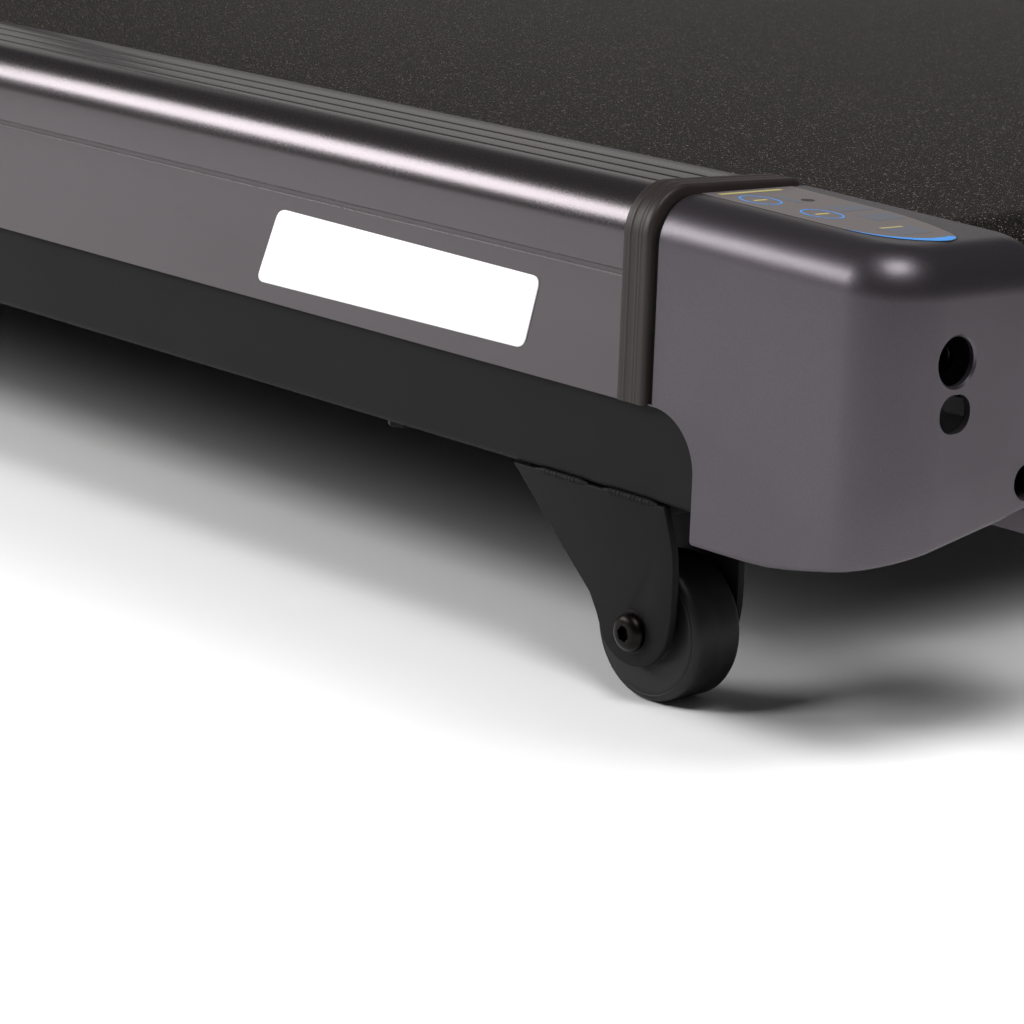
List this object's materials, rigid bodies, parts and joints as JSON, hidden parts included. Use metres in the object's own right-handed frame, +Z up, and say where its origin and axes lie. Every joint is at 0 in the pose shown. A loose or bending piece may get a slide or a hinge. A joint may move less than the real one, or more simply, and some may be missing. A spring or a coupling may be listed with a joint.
{
  "type": "treadmill",
  "caption": "Folding home treadmill: gunmetal side rails and end caps, black running belt and frame, powered incline, rear wheels, uprights with console and handrails.",
  "frame": {"origin": "on the floor under the middle of the machine", "axes": "+X to the right of a runner who faces the console, +Y towards the console, +Z up"},
  "size_m": [0.904, 1.9, 1.2535],
  "materials": {
    "gunmetal_rail": "satin metallic paint",
    "gunmetal_cap": "satin metallic paint on moulded plastic",
    "black_frame": "black powder coat",
    "trim_rubber": "matte grey rubber",
    "wheel_rubber": "matte black rubber",
    "belt_rubber": "fine diamond grain",
    "board_wood": "waxed fibreboard",
    "steel": "turned steel",
    "bolt_black": "black oxide",
    "hood_plastic": "fine textured black plastic",
    "dark_plastic": "fine textured plastic",
    "console_plastic": "fine textured plastic",
    "key_grey": "matte",
    "key_green": "matte",
    "key_red": "matte",
    "motor_steel": "painted",
    "heatsink": "extruded",
    "grip_foam": "soft grip",
    "chrome_rod": "polished"
  },
  "bodies": {
    "base": {"base_beam_left": "black_frame", "base_beam_right": "black_frame", "base_cross_front": "black_frame", "base_cross_mid": "black_frame", "base_cross_rear": "black_frame", "foot_rear_left": "wheel_rubber", "foot_rear_right": "wheel_rubber", "foot_front_left": "wheel_rubber", "foot_front_right": "wheel_rubber", "upright_left": "black_frame", "upright_right": "black_frame", "handrail_left": "grip_foam", "handrail_right": "grip_foam", "console_housing": "console_plastic", "power_inlet": "dark_plastic"},
    "lift": {"lift_frame": "black_frame"},
    "carrier": {"hinge_carrier": "black_frame"},
    "deck": {"frame_tube_left": "black_frame", "frame_tube_right": "black_frame", "crossmember_rear": "black_frame", "crossmember_mid": "black_frame", "crossmember_front": "black_frame", "motor_mount": "black_frame", "wheel_bracket_left": "black_frame", "wheel_bracket_right": "black_frame", "side_rail_left": "gunmetal_rail", "side_rail_right": "gunmetal_rail", "rail_trim_left": "trim_rubber", "rail_trim_right": "trim_rubber", "end_cap_left": "gunmetal_cap", "end_cap_right": "gunmetal_cap", "deck_board": "board_wood", "running_belt": "belt_rubber", "motor_hood": "hood_plastic", "drive_motor": "motor_steel", "drive_belt": "belt_rubber", "motor_controller": "heatsink", "wheel_bolt_left": "bolt_black", "wheel_bolt_right": "bolt_black", "tension_bolt_left": "bolt_black", "tension_bolt_right": "bolt_black"},
    "front_roller": {"front_roller": "steel"},
    "rear_roller": {"rear_roller": "steel"},
    "motor_pulley": {"motor_pulley": "steel"},
    "rear_wheel_left": {"rear_wheel_left": "wheel_rubber"},
    "rear_wheel_right": {"rear_wheel_right": "wheel_rubber"},
    "transport_wheel_left": {"transport_wheel_left": "wheel_rubber"},
    "transport_wheel_right": {"transport_wheel_right": "wheel_rubber"},
    "incline_motor": {"incline_motor": "motor_steel"},
    "incline_screw": {"incline_screw": "steel"},
    "fold_cylinder": {"fold_cylinder": "motor_steel"},
    "fold_rod": {"fold_rod": "chrome_rod"},
    "start_button": {"start_button": "key_green"},
    "stop_button": {"stop_button": "key_red"},
    "speed_up_button": {"speed_up_button": "key_grey"},
    "speed_down_button": {"speed_down_button": "key_grey"},
    "incline_up_button": {"incline_up_button": "key_grey"},
    "incline_down_button": {"incline_down_button": "key_grey"},
    "safety_key": {"safety_key": "key_red"},
    "power_switch": {"power_switch": "dark_plastic"}
  },
  "joints": [
    {"name": "incline_lift", "type": "hinge", "parent": "base", "child": "lift", "pos_m": [0, 0.455, 0.1045], "axis": [1, 0, 0], "range_deg": [0, 36]},
    {"name": "carrier_level", "type": "hinge", "parent": "lift", "child": "carrier", "pos_m": [0, 0.715, 0.1045], "axis": [1, 0, 0], "range_deg": [-30.55, 0]},
    {"name": "deck_fold", "type": "hinge", "parent": "carrier", "child": "deck", "pos_m": [0, 0.715, 0.1045], "axis": [-1, 0, 0], "range_deg": [0, 78]},
    {"name": "fold_cylinder_swing", "type": "hinge", "parent": "carrier", "child": "fold_cylinder", "pos_m": [0.12, 0.688, 0.0495], "axis": [-1, 0, 0], "range_deg": [0, 76.06]},
    {"name": "fold_rod_slide", "type": "slide", "parent": "fold_cylinder", "child": "fold_rod", "axis": [0, -0.9994, 0.0339], "range_m": [0, 0.0759]},
    {"name": "incline_motor_swing", "type": "hinge", "parent": "base", "child": "incline_motor", "pos_m": [-0.06, 0.15, 0.0565], "axis": [1, 0, 0], "range_deg": [0, 1.78]},
    {"name": "incline_screw_slide", "type": "slide", "parent": "incline_motor", "child": "incline_screw", "axis": [0, 1, 0], "range_m": [0, 0.0293]},
    {"name": "front_roller_spin", "type": "hinge", "parent": "deck", "child": "front_roller", "pos_m": [0, 0.47, 0.1725], "axis": [1, 0, 0], "continuous": true},
    {"name": "rear_roller_spin", "type": "hinge", "parent": "deck", "child": "rear_roller", "pos_m": [0, -0.875, 0.1725], "axis": [1, 0, 0], "continuous": true},
    {"name": "motor_pulley_spin", "type": "hinge", "parent": "deck", "child": "motor_pulley", "pos_m": [-0.334, 0.632, 0.186], "axis": [1, 0, 0], "continuous": true},
    {"name": "rear_wheel_left_spin", "type": "hinge", "parent": "deck", "child": "rear_wheel_left", "pos_m": [-0.376, -0.813, 0.03], "axis": [1, 0, 0], "continuous": true},
    {"name": "rear_wheel_right_spin", "type": "hinge", "parent": "deck", "child": "rear_wheel_right", "pos_m": [0.376, -0.813, 0.03], "axis": [1, 0, 0], "continuous": true},
    {"name": "transport_wheel_left_spin", "type": "hinge", "parent": "base", "child": "transport_wheel_left", "pos_m": [-0.432, 0.905, 0.029], "axis": [1, 0, 0], "continuous": true},
    {"name": "transport_wheel_right_spin", "type": "hinge", "parent": "base", "child": "transport_wheel_right", "pos_m": [0.432, 0.905, 0.029], "axis": [1, 0, 0], "continuous": true},
    {"name": "start_button_press", "type": "slide", "parent": "base", "child": "start_button", "axis": [0, 0.6428, -0.766], "range_m": [0, 0.0025], "stiffness_N_per_m": 500, "springref_m": -0.001},
    {"name": "stop_button_press", "type": "slide", "parent": "base", "child": "stop_button", "axis": [0, 0.6428, -0.766], "range_m": [0, 0.0025], "stiffness_N_per_m": 500, "springref_m": -0.001},
    {"name": "speed_up_button_press", "type": "slide", "parent": "base", "child": "speed_up_button", "axis": [0, 0.6428, -0.766], "range_m": [0, 0.0025], "stiffness_N_per_m": 500, "springref_m": -0.001},
    {"name": "speed_down_button_press", "type": "slide", "parent": "base", "child": "speed_down_button", "axis": [0, 0.6428, -0.766], "range_m": [0, 0.0025], "stiffness_N_per_m": 500, "springref_m": -0.001},
    {"name": "incline_up_button_press", "type": "slide", "parent": "base", "child": "incline_up_button", "axis": [0, 0.6428, -0.766], "range_m": [0, 0.0025], "stiffness_N_per_m": 500, "springref_m": -0.001},
    {"name": "incline_down_button_press", "type": "slide", "parent": "base", "child": "incline_down_button", "axis": [0, 0.6428, -0.766], "range_m": [0, 0.0025], "stiffness_N_per_m": 500, "springref_m": -0.001},
    {"name": "safety_key_pull", "type": "slide", "parent": "base", "child": "safety_key", "axis": [0, -0.6428, 0.766], "range_m": [0, 0.03]},
    {"name": "power_switch_rock", "type": "hinge", "parent": "base", "child": "power_switch", "pos_m": [0.337, 0.935, 0.042], "axis": [1, 0, 0], "range_deg": [0, 14]}
  ],
  "couplings": [
    {"joint": "carrier_level", "follows": "incline_lift", "ratio": -0.84016},
    {"joint": "incline_motor_swing", "follows": "incline_lift", "ratio": 0.043775},
    {"joint": "incline_screw_slide", "follows": "incline_lift", "m_per_rad": 0.045104},
    {"joint": "fold_cylinder_swing", "follows": "deck_fold", "ratio": 0.97125},
    {"joint": "fold_rod_slide", "follows": "deck_fold", "m_per_rad": 0.055052},
    {"joint": "rear_roller_spin", "follows": "front_roller_spin", "ratio": 1},
    {"joint": "motor_pulley_spin", "follows": "front_roller_spin", "ratio": 1.9}
  ]
}
